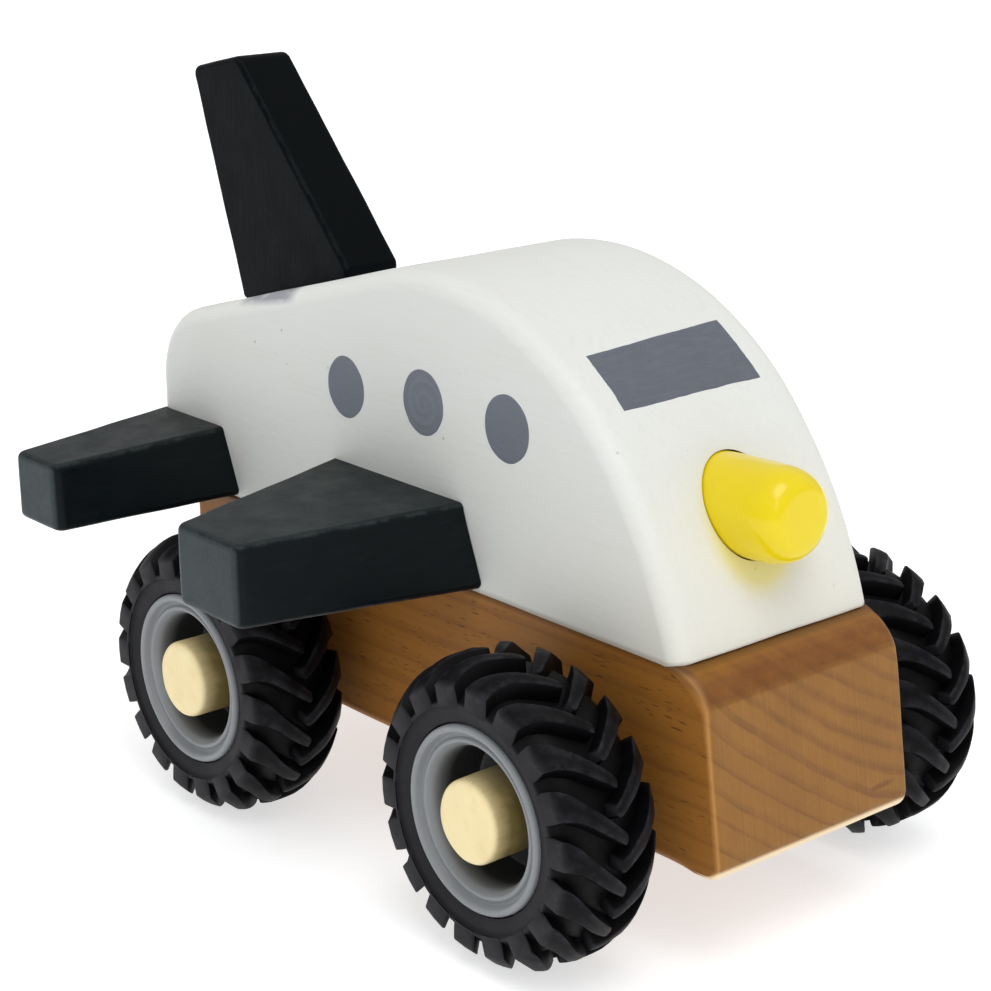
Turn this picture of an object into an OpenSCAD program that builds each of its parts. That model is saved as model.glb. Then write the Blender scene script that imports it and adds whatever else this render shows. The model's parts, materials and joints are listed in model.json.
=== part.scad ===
// Wooden toy airplane on four treaded wheels, millimetres.
// +X is the nose, +Y the left side, +Z up. Z = 0 is the ground under the tyres.

/* [Body blocks] */
// Width of the chassis block and of the fuselage block
body_w = 40; // [36:0.5:46]
// Height of the chassis block
chassis_h = 30.1; // [28:0.1:34]
// Distance of the chassis underside from the ground
ground_clearance = 15.5; // [12:0.1:16]
// Chassis length in front of the front axle, at the underside
front_overhang = 27.2; // [25:0.1:30]
// Backward lean of the chassis front, degrees
front_lean = 7.5; // [4:0.5:9]
// Chassis length behind the rear axle
rear_overhang = 30; // [26:0.1:31]
// Rounding of the sanded fuselage edges
edge_r = 3; // [1:0.1:3.5]
// Rounding of the long chassis edges
chassis_edge_r = 2; // [1.6:0.1:2.4]
// Rounding of the upper front edge of the chassis
brow_r = 6.5; // [4:0.1:8]
// Rounding of the other cross edges of the chassis
foot_r = 2.6; // [1:0.1:3]

/* [Fuselage profile] */
// Distance from the mid-wheelbase point to the foot of the nose
nose_foot_x = 54.4; // [50:0.1:58]
// Lean of the nose at its foot, degrees from upright
nose_lean = 15.5; // [12:0.5:20]
// Radius of the lower nose curve
nose_r = 74; // [68:0.5:80]
// Turn of the lower nose curve, degrees
nose_turn = 26; // [22:0.5:30]
// Radius of the crown above the windshield
crown_r = 52; // [48:0.5:56]
// Slope of the rear deck, degrees
deck_slope = 15.5; // [13:0.5:18]
// Distance from the mid-wheelbase point to the rear face
tail_face_x = 75.9; // [74:0.1:78]
// Rounding of the upper rear corner
tail_corner_r = 14; // [6:0.5:15]

/* [Wings] */
// Thickness of the wing plank
wing_t = 12.8; // [11:0.1:15]
// Tip distance from the centre plane
wing_reach = 57.8; // [52:0.1:64]
// Leading edge at the root, upper face
wing_lead_top_x = 8.2; // [6:0.1:10]
// Leading edge at the root, lower face
wing_lead_foot_x = 12; // [10.5:0.1:14]
// Trailing edge at the root
wing_trail_x = -25.2; // [-28:0.1:-22]
// Leading edge at the tip
wing_tip_lead_x = 2.7; // [0:0.1:5]
// Trailing edge at the tip
wing_tip_trail_x = -13; // [-16:0.1:-10]
// Rounding of the plank edges
plank_r = 1.5; // [1.5:0.1:2.2]

/* [Tailplanes] */
// Thickness of the tailplane plank
tail_t = 11.4; // [10:0.1:14]
// Tip distance from the centre plane
tail_reach = 54; // [48:0.1:58]
// Leading edge at the root, upper face
tail_lead_top_x = -56; // [-58:0.1:-54]
// Leading edge at the root, lower face
tail_lead_foot_x = -52.3; // [-54:0.1:-50]
// Leading edge at the tip
tail_tip_lead_x = -54.6; // [-57:0.1:-52]
// Trailing edge at the tip
tail_tip_trail_x = -67.2; // [-70:0.1:-64]

/* [Fin] */
// Thickness of the fin plank
fin_t = 11; // [9:0.1:13]
// Front foot of the fin
fin_foot_x = -38.3; // [-42:0.1:-34]
// Length of the fin foot
fin_foot_l = 31.9; // [28:0.1:34]
// Rise of the trailing edge
fin_rear_rise = 39.5; // [34:0.1:44]
// Rise of the leading edge
fin_front_rise = 33.8; // [30:0.1:38]
// Backward rake of the trailing edge, degrees
fin_rear_rake = 18.5; // [14:0.5:22]
// Backward rake of the leading edge, degrees
fin_front_rake = 42.5; // [38:0.5:46]

/* [Nose peg] */
// Diameter of the nose peg
nose_peg_d = 14.4; // [12:0.1:16]
// Height of the nose peg where it leaves the nose
nose_peg_z = 63.3; // [60:0.1:66]
// How far the nose peg stands out along its axis
nose_peg_out = 11.6; // [7:0.1:13]
// Upward tilt of the nose peg, degrees
nose_peg_tilt = 2.5; // [0:0.5:8]

/* [Wheels] */
// Distance between the axle lines
wheelbase = 72.5; // [70:0.5:78]
// Outer diameter over the tread lugs
tyre_d = 46.6; // [45:0.1:47]
// Width of the tyre
tyre_w = 17.2; // [17:0.1:17.6]
// Distance of a wheel's middle plane from the centre plane
track_half = 34.4; // [34:0.1:35.5]
// Outer diameter of the rim lip
rim_d = 28; // [27.6:0.1:28.4]
// Diameter of the opening in the rim
rim_mouth_d = 20.8; // [20:0.1:21.6]
// Number of tread lugs on each side
lug_count = 18; // [14:1:18]
// Lead of a lug's inner end over its outer end, degrees
lug_lead = 14; // [10:0.5:18]
// Height of the lugs over the tyre carcass
lug_h = 2.9; // [2:0.1:3.2]
// Diameter of the axle peg head
peg_head_d = 12.5; // [11:0.1:13.5]
// Diameter of the axle peg shank
peg_shank_d = 6; // [5:0.1:7]
// Distance of the axle peg end from the centre plane
peg_reach = 43.7; // [42.5:0.1:46]

/* [Painted marks] */
// Radius of the painted side windows
window_r = 5; // [4:0.1:6]
// Distance between neighbouring side windows
window_pitch = 19.5; // [17:0.1:21]
// Height of the middle side window
window_z = 71.8; // [69:0.1:74]
// Width of the painted windshield
windshield_w = 27.6; // [24:0.2:31]

/* [Hidden] */
$fn = 64;
axle_z = tyre_d / 2;
deck_top_z = ground_clearance + chassis_h;
nose_reach = wheelbase / 2 + front_overhang;
stern_x = -(wheelbase / 2 + rear_overhang);

// Nose and crown: two arcs that follow one another, then the straight deck
nose_steps = 6;
crown_steps = 16;
crown_turn = 90 + deck_slope - nose_lean - nose_turn;
nose_c = [nose_foot_x - nose_r * cos(nose_lean), deck_top_z - nose_r * sin(nose_lean)];
function nose_pt(a) = nose_c + nose_r * [cos(a), sin(a)];
crown_start = nose_lean + nose_turn;
crown_c = nose_c + (nose_r - crown_r) * [cos(crown_start), sin(crown_start)];
function crown_pt(a) = crown_c + crown_r * [cos(a), sin(a)];
deck_start = crown_pt(crown_start + crown_turn);
function deck_z(x) = deck_start[1] + (x - deck_start[0]) * tan(deck_slope);

// Corners in outline are a little fuller than the edge rounding
corner_extra = 0.8;
wing_trail_extra = 1.4;
tall_r = chassis_edge_r + corner_extra;

// Fin corners, and the row's middle between the chassis front and the fin tip
fin_heel_x = fin_foot_x - fin_foot_l;
fin_edge_r = 1.1;
fin_corner_r = 1.4;
outline_r = plank_r + corner_extra;
fin_corners = [
  [fin_foot_x, deck_z(fin_foot_x)],
  [fin_foot_x - fin_front_rise * tan(fin_front_rake), deck_z(fin_foot_x) + fin_front_rise],
  [fin_heel_x - fin_rear_rise * tan(fin_rear_rake), deck_z(fin_heel_x) + fin_rear_rise],
  [fin_heel_x, deck_z(fin_heel_x)]
];
fin_tip_x = inner_corner(fin_corners, 2, fin_corner_r)[0] - fin_corner_r;
nose_tip_x = inner_corner(chassis_outline(chassis_h), 1, tall_r)[0] + tall_r;
mid_x = (nose_tip_x + fin_tip_x) / 2;

// Fits and hidden joinery
glue_gap = 0.05;
run_gap = 0.06;
side_gap = 0.6;
end_play = 0.2;
body_dowel_d = 8;
body_dowel_l = 24;
plank_dowel_d = 6;
plank_dowel_l = 24;
fin_dowel_l = 20;
dowel_end_gap = 0.5;
dowel_bevel = 0.6;
peg_hole_floor = 6;
nose_peg_depth = 12;
end_round = 1.5;
nose_round = 3.8;
body_dowel_x = [-45, 28];
wing_dowel_x = [-15, 0];
tail_dowel_x = [-67.5, -59.5];
fin_dowel_x = [-61, -49];
plank_rest_gap = 0.4;
mark_t = 0.2;
mark_gap = 0.02;
windshield_low = 36;
windshield_high = 27.2;
windshield_off = 0.4;
big = 300;
corner_r = edge_r + corner_extra;

// Wheel section, measured from the wheel's middle plane
rim_face = 8.2;
rim_seat_r = rim_d / 2 - 1.4;
rim_flange_t = 1.5;
web_out = -1.8;
web_in = -4.3;
hub_r = 5.6;
lip_round = 0.7;
carcass_r = tyre_d / 2 - lug_h;
sidewall_r = 17.3;
tyre_skin = 2.6;

// Lug plan along the tread: a narrow inner tip, a knee and a broad block at the shoulder
lug_tip_w = 2.2;
lug_block_w = 5;
lug_knee_in = 2;
lug_sweep = 0.6;
lug_waist = 1.2;
lug_bevel = 0.4;
lug_row_gap = 0.5;

beech = [0.66, 0.47, 0.28];
off_white = [0.91, 0.91, 0.88];
charcoal = [0.17, 0.21, 0.22];
yellow = [0.94, 0.86, 0.12];
black_rubber = [0.11, 0.11, 0.12];
grey_plastic = [0.56, 0.57, 0.58];
pale_wood = [0.91, 0.85, 0.66];
window_grey = [0.43, 0.44, 0.5];
dowel_wood = [0.8, 0.66, 0.46];

// Corners that turn less than this stay a single point
slight_turn = 8;
function unit(v) = v / norm(v);
function left_of(v) = [-v[1], v[0]];
function edge_normal(p, i) = left_of(unit(p[(i + 1) % len(p)] - p[i]));

// Centre of the corner arc of radius r at corner i of a convex outline
function inner_corner(p, i, r) = let (
    a = edge_normal(p, (i + len(p) - 1) % len(p)),
    b = edge_normal(p, i)
  ) p[i] + r * (a + b) / (1 + a * b);

// Convex outline with rounded corners; trim shrinks it inwards
function soft_outline(p, radii, trim) = [
  for (i = [0 : len(p) - 1]) let (
    a = -edge_normal(p, (i + len(p) - 1) % len(p)),
    b = -edge_normal(p, i),
    c = inner_corner(p, i, radii[i]),
    turn = acos(min(1, a * b)),
    n = ceil(turn / 15),
    t0 = atan2(a[1], a[0]),
    reach = radii[i] - trim
  ) for (k = turn < slight_turn ? [0.5] : [0 : n])
    let (t = t0 + turn * (turn < slight_turn ? k : k / n)) c + reach * [cos(t), sin(t)]
];

// Upper half of a plank whose rim is rounded by r
module edge_stack(p, radii, h, r) {
  for (a = [0 : 22.5 : 90]) {
    linear_extrude(h - r * (1 - sin(a)))
      polygon(soft_outline(p, radii, r * (1 - cos(a))));
  }
}

// Rounded slab standing in the XZ plane, w thick along Y
module upright_slab(p, radii, w, r) {
  hull() {
    rotate([90, 0, 0]) edge_stack(p, radii, w / 2, r);
    rotate([90, 0, 0]) mirror([0, 0, 1]) edge_stack(p, radii, w / 2, r);
  }
}

// Rounded slab lying flat whose upper and lower outlines may differ
module flat_slab(top, foot, radii, t, r) {
  hull() {
    edge_stack(top, radii, t / 2, r);
    mirror([0, 0, 1]) edge_stack(foot, radii, t / 2, r);
  }
}

module centred_row() {
  translate([-mid_x, 0, 0]) children();
}

module dowel(d, l) {
  rotate_extrude()
    polygon([
      [0, -l / 2],
      [d / 2 - dowel_bevel, -l / 2],
      [d / 2, -l / 2 + dowel_bevel],
      [d / 2, l / 2 - dowel_bevel],
      [d / 2 - dowel_bevel, l / 2],
      [0, l / 2]
    ]);
}

module dowel_hole(d, l) {
  cylinder(h = l + 2 * dowel_end_gap, r = d / 2 + glue_gap, center = true);
}

module at_body_dowels() {
  for (x = body_dowel_x) {
    translate([x, 0, deck_top_z]) children();
  }
}

module at_plank_dowels(xs, z, side) {
  for (x = xs) {
    translate([x, side * body_w / 2, z]) rotate([90, 0, 0]) children();
  }
}

module at_fin_dowels() {
  for (x = fin_dowel_x) {
    translate([x, 0, deck_z(x)]) rotate([0, -deck_slope, 0]) children();
  }
}

module at_wheel(x, side) {
  translate([x, side * track_half, axle_z]) rotate([-90 * side, 0, 0]) children();
}

wing_mid_z = deck_top_z + plank_rest_gap + wing_t / 2;
tail_mid_z = deck_top_z + plank_rest_gap + tail_t / 2;

// Chassis outline of height h, seen from the right side, counter-clockwise
function chassis_outline(h) = [
  [stern_x, ground_clearance],
  [nose_reach, ground_clearance],
  [nose_reach - h * tan(front_lean), ground_clearance + h],
  [stern_x, ground_clearance + h]
];

module chassis() {
  tall = chassis_outline(chassis_h + 2 * edge_r);
  color(beech) centred_row() difference() {
    intersection() {
      upright_slab(tall, [tall_r, tall_r, tall_r, tall_r], body_w, chassis_edge_r);
      rotate([90, 0, 0]) linear_extrude(body_w, center = true)
        polygon(soft_outline(chassis_outline(chassis_h), [foot_r, foot_r, brow_r, foot_r], 0));
    }
    for (x = [-wheelbase / 2, wheelbase / 2], side = [-1, 1]) {
      translate([x, side * (peg_hole_floor + body_w / 2), axle_z]) rotate([90, 0, 0])
        cylinder(h = body_w, r = peg_shank_d / 2 + glue_gap, center = true);
    }
    at_body_dowels() dowel_hole(body_dowel_d, body_dowel_l);
  }
}

// Fuselage outline; it runs below the joint and is cut flush there
fuselage_skirt = 2 * edge_r;
fuselage_foot_x = nose_foot_x + fuselage_skirt * tan(nose_lean + nose_turn / nose_steps / 2);
fuselage_outline = concat(
  [[-tail_face_x, deck_top_z - fuselage_skirt], [fuselage_foot_x, deck_top_z - fuselage_skirt]],
  [for (i = [1 : nose_steps]) nose_pt(nose_lean + nose_turn * i / nose_steps)],
  [for (i = [1 : crown_steps]) crown_pt(crown_start + crown_turn * i / crown_steps)],
  [[-tail_face_x, deck_z(-tail_face_x)]]
);
fuselage_corner_radii = [
  for (i = [0 : len(fuselage_outline) - 1]) i == len(fuselage_outline) - 1 ? tail_corner_r : corner_r
];

module fuselage_body() {
  difference() {
    upright_slab(fuselage_outline, fuselage_corner_radii, body_w, edge_r);
    translate([0, 0, deck_top_z - big / 2]) cube([big, big, big], center = true);
  }
}

module fuselage() {
  color(off_white) centred_row() difference() {
    fuselage_body();
    at_body_dowels() dowel_hole(body_dowel_d, body_dowel_l);
    at_fin_dowels() dowel_hole(plank_dowel_d, fin_dowel_l);
    for (side = [-1, 1]) {
      at_plank_dowels(wing_dowel_x, wing_mid_z, side) dowel_hole(plank_dowel_d, plank_dowel_l);
      at_plank_dowels(tail_dowel_x, tail_mid_z, side) dowel_hole(plank_dowel_d, plank_dowel_l);
    }
    at_nose_peg() translate([0, 0, -nose_peg_depth - dowel_end_gap])
      cylinder(h = big / 2, r = nose_peg_d / 2 + glue_gap);
  }
}

// The nose peg's axis starts where the lower nose curve stands at its height
nose_peg_angle = asin((nose_peg_z - nose_c[1]) / nose_r);

module at_nose_peg() {
  translate([nose_pt(nose_peg_angle)[0], 0, nose_peg_z]) rotate([0, 90 - nose_peg_tilt, 0]) children();
}

module round_ended_rod(r, l, end_r) {
  rotate_extrude() {
    square([r - end_r, l]);
    square([r, l - end_r]);
    translate([r - end_r, l - end_r]) intersection() {
      circle(end_r);
      square(end_r);
    }
  }
}

module nose_peg() {
  color(yellow) centred_row() at_nose_peg() translate([0, 0, -nose_peg_depth])
    round_ended_rod(nose_peg_d / 2, nose_peg_depth + nose_peg_out, nose_round);
}

module wing(side) {
  inner = body_w / 2 - 2 * plank_r;
  top = [
    [wing_trail_x, inner],
    [wing_lead_top_x, inner],
    [wing_tip_lead_x, wing_reach],
    [wing_tip_trail_x, wing_reach]
  ];
  foot = [
    [wing_trail_x, inner],
    [wing_lead_foot_x, inner],
    [wing_tip_lead_x, wing_reach],
    [wing_tip_trail_x, wing_reach]
  ];
  color(charcoal) centred_row() mirror([0, (1 - side) / 2, 0]) difference() {
    translate([0, 0, wing_mid_z])
      flat_slab(top, foot, [outline_r, outline_r, outline_r, plank_r + wing_trail_extra], wing_t, plank_r);
    translate([0, body_w / 2 - big / 2, 0]) cube([big, big, big], center = true);
    at_plank_dowels(wing_dowel_x, wing_mid_z, 1) dowel_hole(plank_dowel_d, plank_dowel_l);
  }
}

module tailplane(side) {
  inner = body_w / 2 - 2 * plank_r;
  top = [
    [-tail_face_x, inner],
    [tail_lead_top_x, inner],
    [tail_tip_lead_x, tail_reach],
    [tail_tip_trail_x, tail_reach]
  ];
  foot = [
    [-tail_face_x, inner],
    [tail_lead_foot_x, inner],
    [tail_tip_lead_x, tail_reach],
    [tail_tip_trail_x, tail_reach]
  ];
  color(charcoal) centred_row() mirror([0, (1 - side) / 2, 0]) difference() {
    translate([0, 0, tail_mid_z])
      flat_slab(top, foot, [outline_r, outline_r, outline_r, outline_r], tail_t, plank_r);
    translate([0, body_w / 2 - big / 2, 0]) cube([big, big, big], center = true);
    at_plank_dowels(tail_dowel_x, tail_mid_z, 1) dowel_hole(plank_dowel_d, plank_dowel_l);
  }
}

module tail_fin() {
  color(charcoal) centred_row() difference() {
    upright_slab(fin_corners, [fin_corner_r, fin_corner_r, fin_corner_r, fin_corner_r], fin_t, fin_edge_r);
    at_fin_dowels() dowel_hole(plank_dowel_d, fin_dowel_l);
  }
}

module body_dowels() {
  color(dowel_wood) centred_row() at_body_dowels() dowel(body_dowel_d, body_dowel_l);
}

module wing_dowels(side) {
  color(dowel_wood) centred_row()
    at_plank_dowels(wing_dowel_x, wing_mid_z, side) dowel(plank_dowel_d, plank_dowel_l);
}

module tailplane_dowels(side) {
  color(dowel_wood) centred_row()
    at_plank_dowels(tail_dowel_x, tail_mid_z, side) dowel(plank_dowel_d, plank_dowel_l);
}

module fin_dowels() {
  color(dowel_wood) centred_row() at_fin_dowels() dowel(plank_dowel_d, fin_dowel_l);
}

// Painted side windows: three thin discs on the skin
module window_discs(side) {
  for (i = [-1 : 1]) {
    translate([window_pitch * i - 1.4, side * body_w / 2, window_z + 0.6 * i])
      rotate([-90 * side, 0, 0]) cylinder(h = mark_t, r = window_r);
  }
}

module window_marks(side) {
  color(window_grey) centred_row() window_discs(side);
}

// Painted windshield: a thin strip that follows the crown
module windshield_strip() {
  a0 = acos((windshield_low - crown_c[0]) / crown_r);
  a1 = acos((windshield_high - crown_c[0]) / crown_r);
  steps = 6;
  outer = [for (i = [0 : steps]) let (a = a0 + (a1 - a0) * i / steps)
    crown_c + (crown_r + mark_t) * [cos(a), sin(a)]];
  inner = [for (i = [steps : -1 : 0]) let (a = a0 + (a1 - a0) * i / steps)
    crown_c + (crown_r + mark_gap) * [cos(a), sin(a)]];
  translate([0, windshield_off, 0]) rotate([90, 0, 0]) linear_extrude(windshield_w, center = true)
    polygon(concat(outer, inner));
}

module windshield_mark() {
  color(window_grey) centred_row() windshield_strip();
}

// Wheel parts are drawn around Z with the outer side up
module rim_shape() {
  lip = rim_face - lip_round;
  mouth = rim_mouth_d / 2;
  rim_r = rim_d / 2;
  hub_end = body_w / 2 + side_gap - track_half;
  rotate_extrude() {
    polygon([
      [peg_shank_d / 2 + run_gap, hub_end],
      [hub_r - 0.5, hub_end],
      [hub_r, hub_end + 0.5],
      [hub_r, web_in],
      [mouth, web_in],
      [mouth + 0.3, -rim_face + 0.4],
      [mouth + 0.7, -rim_face],
      [rim_r - 0.3, -rim_face],
      [rim_r, -rim_face + 0.3],
      [rim_r, -rim_face + rim_flange_t - 0.2],
      [rim_seat_r, -rim_face + rim_flange_t],
      [rim_seat_r, rim_face - rim_flange_t],
      [rim_r, rim_face - rim_flange_t + 0.2],
      [rim_r, lip],
      [rim_r - lip_round, lip],
      [rim_r - 2 * lip_round, lip],
      [rim_r - 1.6, lip - 0.1],
      [mouth + 1.1, lip - 0.5],
      [mouth + 0.5, lip - 0.7],
      [mouth, lip - 1.3],
      [mouth - 0.5, web_out],
      [peg_shank_d / 2 + run_gap, web_out]
    ]);
    translate([rim_r - lip_round, lip]) circle(lip_round, $fn = 24);
  }
}

module rim(x, side) {
  color(grey_plastic) centred_row() at_wheel(x, side) rim_shape();
}

module axle_peg_shape() {
  head_foot = web_out + end_play;
  shank_end = peg_hole_floor + 1 - track_half;
  translate([0, 0, head_foot])
    round_ended_rod(peg_head_d / 2, peg_reach - track_half - head_foot, end_round);
  translate([0, 0, shank_end]) cylinder(h = head_foot - shank_end + 1, r = peg_shank_d / 2);
}

module axle_peg(x, side) {
  color(pale_wood) centred_row() at_wheel(x, side) axle_peg_shape();
}

module carcass() {
  half = tyre_w / 2;
  bead_in = rim_seat_r + glue_gap;
  bead_half = rim_face - rim_flange_t - 0.1;
  skirt = rim_d / 2 + 0.1;
  side = [
    [bead_in, bead_half - 2.4],
    [bead_in, bead_half],
    [skirt, bead_half + 0.15],
    [skirt, half - 0.9],
    [skirt + 0.5, half - 0.6],
    [sidewall_r - 0.5, half - 0.15],
    [sidewall_r, half - 0.3],
    [carcass_r - 0.8, half - 1.4],
    [carcass_r, half - 3.2]
  ];
  cavity = [
    [carcass_r - tyre_skin, 4.4],
    [carcass_r - tyre_skin - 0.8, 5.2]
  ];
  rotate_extrude() polygon(concat(
    side,
    [for (i = [len(side) - 1 : -1 : 0]) [side[i][0], -side[i][1]]],
    [[cavity[1][0], -cavity[1][1]], [cavity[0][0], -cavity[0][1]]],
    cavity
  ));
}

// One lug of the outer row, seen from outside the tread at the wheel's top
module lug_prism() {
  shoulder = tyre_w / 2 + 1;
  knee = tyre_w / 2 - lug_knee_in;
  lead = tyre_d / 4 * sin(lug_lead);
  root = sidewall_r - 2;
  translate([0, 0, root]) linear_extrude(tyre_d / 2 - root + 2) polygon([
    [-lead - lug_block_w / 2 - lug_sweep, shoulder],
    [-lead + lug_block_w / 2 - lug_sweep, shoulder],
    [-lead + lug_block_w / 2, knee],
    [lead + lug_tip_w / 2, lug_row_gap + lug_sweep],
    [lead + lug_tip_w / 2 - lug_bevel, lug_row_gap],
    [lead - lug_tip_w / 2 + lug_bevel / 2, lug_row_gap],
    [-lead - lug_block_w / 2 + lug_waist, knee]
  ]);
}

module lug_band() {
  half = tyre_w / 2;
  crown = tyre_d / 2;
  low = sidewall_r - 0.2;
  rotate_extrude() polygon([
    [low, -half],
    [crown - 2.4, -half],
    [crown - 0.9, -half + 0.8],
    [crown, -half + 2.6],
    [crown, half - 2.6],
    [crown - 0.9, half - 0.8],
    [crown - 2.4, half],
    [low, half],
    [low, half - 1.2],
    [carcass_r - 1.2, half - 2.6],
    [carcass_r - 0.6, 0],
    [carcass_r - 1.2, -half + 2.6],
    [low, -half + 1.2]
  ]);
}

// The tread leads towards the nose at the wheel's top on both sides
module tyre_shape() {
  step = 360 / lug_count;
  carcass();
  intersection() {
    lug_band();
    rotate([90, 0, 0]) for (i = [0 : lug_count - 1]) {
      rotate([0, step * i, 0]) lug_prism();
      rotate([0, step * (i + 0.5), 0]) mirror([0, 1, 0]) lug_prism();
    }
  }
}

module tyre(x, side) {
  color(black_rubber) centred_row() at_wheel(x, side) mirror([0, (1 - side) / 2, 0]) tyre_shape();
}

front_x = wheelbase / 2;
rear_x = -wheelbase / 2;

chassis();
fuselage();
nose_peg();
wing(-1);  // wing_right
wing(1);  // wing_left
tailplane(-1);  // tailplane_right
tailplane(1);  // tailplane_left
tail_fin();
body_dowels();
wing_dowels(-1);  // wing_dowels_right
wing_dowels(1);  // wing_dowels_left
tailplane_dowels(-1);  // tailplane_dowels_right
tailplane_dowels(1);  // tailplane_dowels_left
fin_dowels();
window_marks(-1);  // window_marks_right
window_marks(1);  // window_marks_left
windshield_mark();
axle_peg(front_x, -1);  // axle_peg_front_right
axle_peg(front_x, 1);  // axle_peg_front_left
axle_peg(rear_x, -1);  // axle_peg_rear_right
axle_peg(rear_x, 1);  // axle_peg_rear_left
rim(front_x, -1);  // rim_front_right
rim(front_x, 1);  // rim_front_left
rim(rear_x, -1);  // rim_rear_right
rim(rear_x, 1);  // rim_rear_left
tyre(front_x, -1);  // tyre_front_right
tyre(front_x, 1);  // tyre_front_left
tyre(rear_x, -1);  // tyre_rear_right
tyre(rear_x, 1);  // tyre_rear_left
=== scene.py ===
import json
import math

import bmesh
import bpy
import numpy as np
from mathutils import Matrix, Vector, noise
from mathutils.bvhtree import BVHTree


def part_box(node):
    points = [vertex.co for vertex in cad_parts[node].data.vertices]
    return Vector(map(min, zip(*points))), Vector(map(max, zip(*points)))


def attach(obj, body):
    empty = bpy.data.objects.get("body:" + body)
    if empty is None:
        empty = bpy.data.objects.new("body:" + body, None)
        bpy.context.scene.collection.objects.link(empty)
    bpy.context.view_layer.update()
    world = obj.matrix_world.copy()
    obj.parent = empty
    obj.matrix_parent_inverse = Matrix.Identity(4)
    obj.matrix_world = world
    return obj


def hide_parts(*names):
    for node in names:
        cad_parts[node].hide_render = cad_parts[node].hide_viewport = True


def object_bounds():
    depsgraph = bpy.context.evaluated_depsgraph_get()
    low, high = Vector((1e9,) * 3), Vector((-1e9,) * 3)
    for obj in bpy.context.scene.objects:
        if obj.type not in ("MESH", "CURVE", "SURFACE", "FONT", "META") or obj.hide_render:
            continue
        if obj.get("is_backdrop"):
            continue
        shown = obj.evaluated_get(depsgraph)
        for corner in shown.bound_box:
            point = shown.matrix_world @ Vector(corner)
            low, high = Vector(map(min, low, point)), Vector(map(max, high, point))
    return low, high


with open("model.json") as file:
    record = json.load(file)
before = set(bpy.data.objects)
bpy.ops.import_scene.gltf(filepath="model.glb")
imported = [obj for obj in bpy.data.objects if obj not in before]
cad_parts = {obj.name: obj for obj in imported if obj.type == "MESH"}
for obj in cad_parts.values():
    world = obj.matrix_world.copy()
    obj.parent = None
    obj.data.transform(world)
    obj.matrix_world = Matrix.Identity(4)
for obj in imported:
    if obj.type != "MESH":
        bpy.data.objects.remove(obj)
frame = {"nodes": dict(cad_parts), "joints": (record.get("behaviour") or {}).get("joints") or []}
START_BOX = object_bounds()

# ---------------------------------------------------------------- places, in millimetres of the frame
MM = 0.001


def box(node):
    lo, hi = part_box(node)
    return lo / MM, hi / MM


HUBS = {}
for j in frame["joints"]:
    HUBS[j["name"].replace("wheel_", "").replace("_spin", "")] = Vector(j["pos_m"]) / MM
MID_X = (HUBS["front_right"].x + HUBS["rear_right"].x) / 2
CH_LO, CH_HI = box("chassis")
FU_LO, FU_HI = box("fuselage")
TOP_Z = CH_HI.z
HALF_W = FU_HI.y


# the nose and crown are two arcs that follow one another, then the straight deck
NOSE_FOOT = FU_HI.x - MID_X
NOSE_LEAN, NOSE_R, NOSE_TURN, CROWN_R, DECK = 15.5, 74.0, 26.0, 52.0, 15.5


def radial(c, r, a):
    return (c[0] + r * math.cos(math.radians(a)), c[1] + r * math.sin(math.radians(a)))


NOSE_C = (NOSE_FOOT - NOSE_R * math.cos(math.radians(NOSE_LEAN)),
          TOP_Z - NOSE_R * math.sin(math.radians(NOSE_LEAN)))
CROWN_A = NOSE_LEAN + NOSE_TURN
CROWN_C = radial(NOSE_C, NOSE_R - CROWN_R, CROWN_A)
CROWN_END = 90 + DECK
DECK_P = radial(CROWN_C, CROWN_R, CROWN_END)


def deck_z(x):
    return DECK_P[1] + (x - MID_X - DECK_P[0]) * math.tan(math.radians(DECK))


PEG_R, PEG_Z, PEG_OUT, PEG_TILT = 7.2, 63.3, 11.6, 2.5
PEG_A = math.degrees(math.asin((PEG_Z - NOSE_C[1]) / NOSE_R))
PEG_X = radial(NOSE_C, NOSE_R, PEG_A)[0] + MID_X
FIN_FOOT = MID_X - 38.3
PEG_END = abs(box("axle_peg_front_left")[1].y)
# x span of the painted reflection of the fin on the deck
FIN_REFLECTION_SPAN = (FIN_FOOT - 14.0, FIN_FOOT + 4.2)


# ---------------------------------------------------------------- mesh helpers
def unit(v):
    return v / np.linalg.norm(v)


def clamp(v):
    return min(1.0, max(0.0, v))


def new_object(name, verts, faces, body, smooth_angle=35.0, attributes=None):
    """A mesh from millimetre vertices that rides on a CAD body."""
    mesh = bpy.data.meshes.new(name)
    mesh.from_pydata([tuple(float(c) * MM for c in v) for v in verts], [], faces)
    mesh.validate()
    if attributes:
        for key, values in attributes.items():
            a = mesh.attributes.new(key, "FLOAT", "POINT")
            a.data.foreach_set("value", np.asarray(values, np.float32))
    obj = bpy.data.objects.new(name, mesh)
    bpy.context.scene.collection.objects.link(obj)
    clean(obj)
    shade(obj, smooth_angle)
    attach(obj, body)
    return obj


def clean(obj):
    bm = bmesh.new()
    bm.from_mesh(obj.data)
    bmesh.ops.remove_doubles(bm, verts=bm.verts, dist=1e-7)
    bmesh.ops.recalc_face_normals(bm, faces=bm.faces)
    bm.to_mesh(obj.data)
    bm.free()


def shade(obj, angle):
    mesh = obj.data
    mesh.shade_smooth()
    if angle is not None:
        mesh.set_sharp_from_angle(angle=math.radians(angle))


def weighted(obj):
    m = obj.modifiers.new("flats", "WEIGHTED_NORMAL")
    m.mode = "FACE_AREA"
    m.weight = 60
    m.keep_sharp = True


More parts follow.
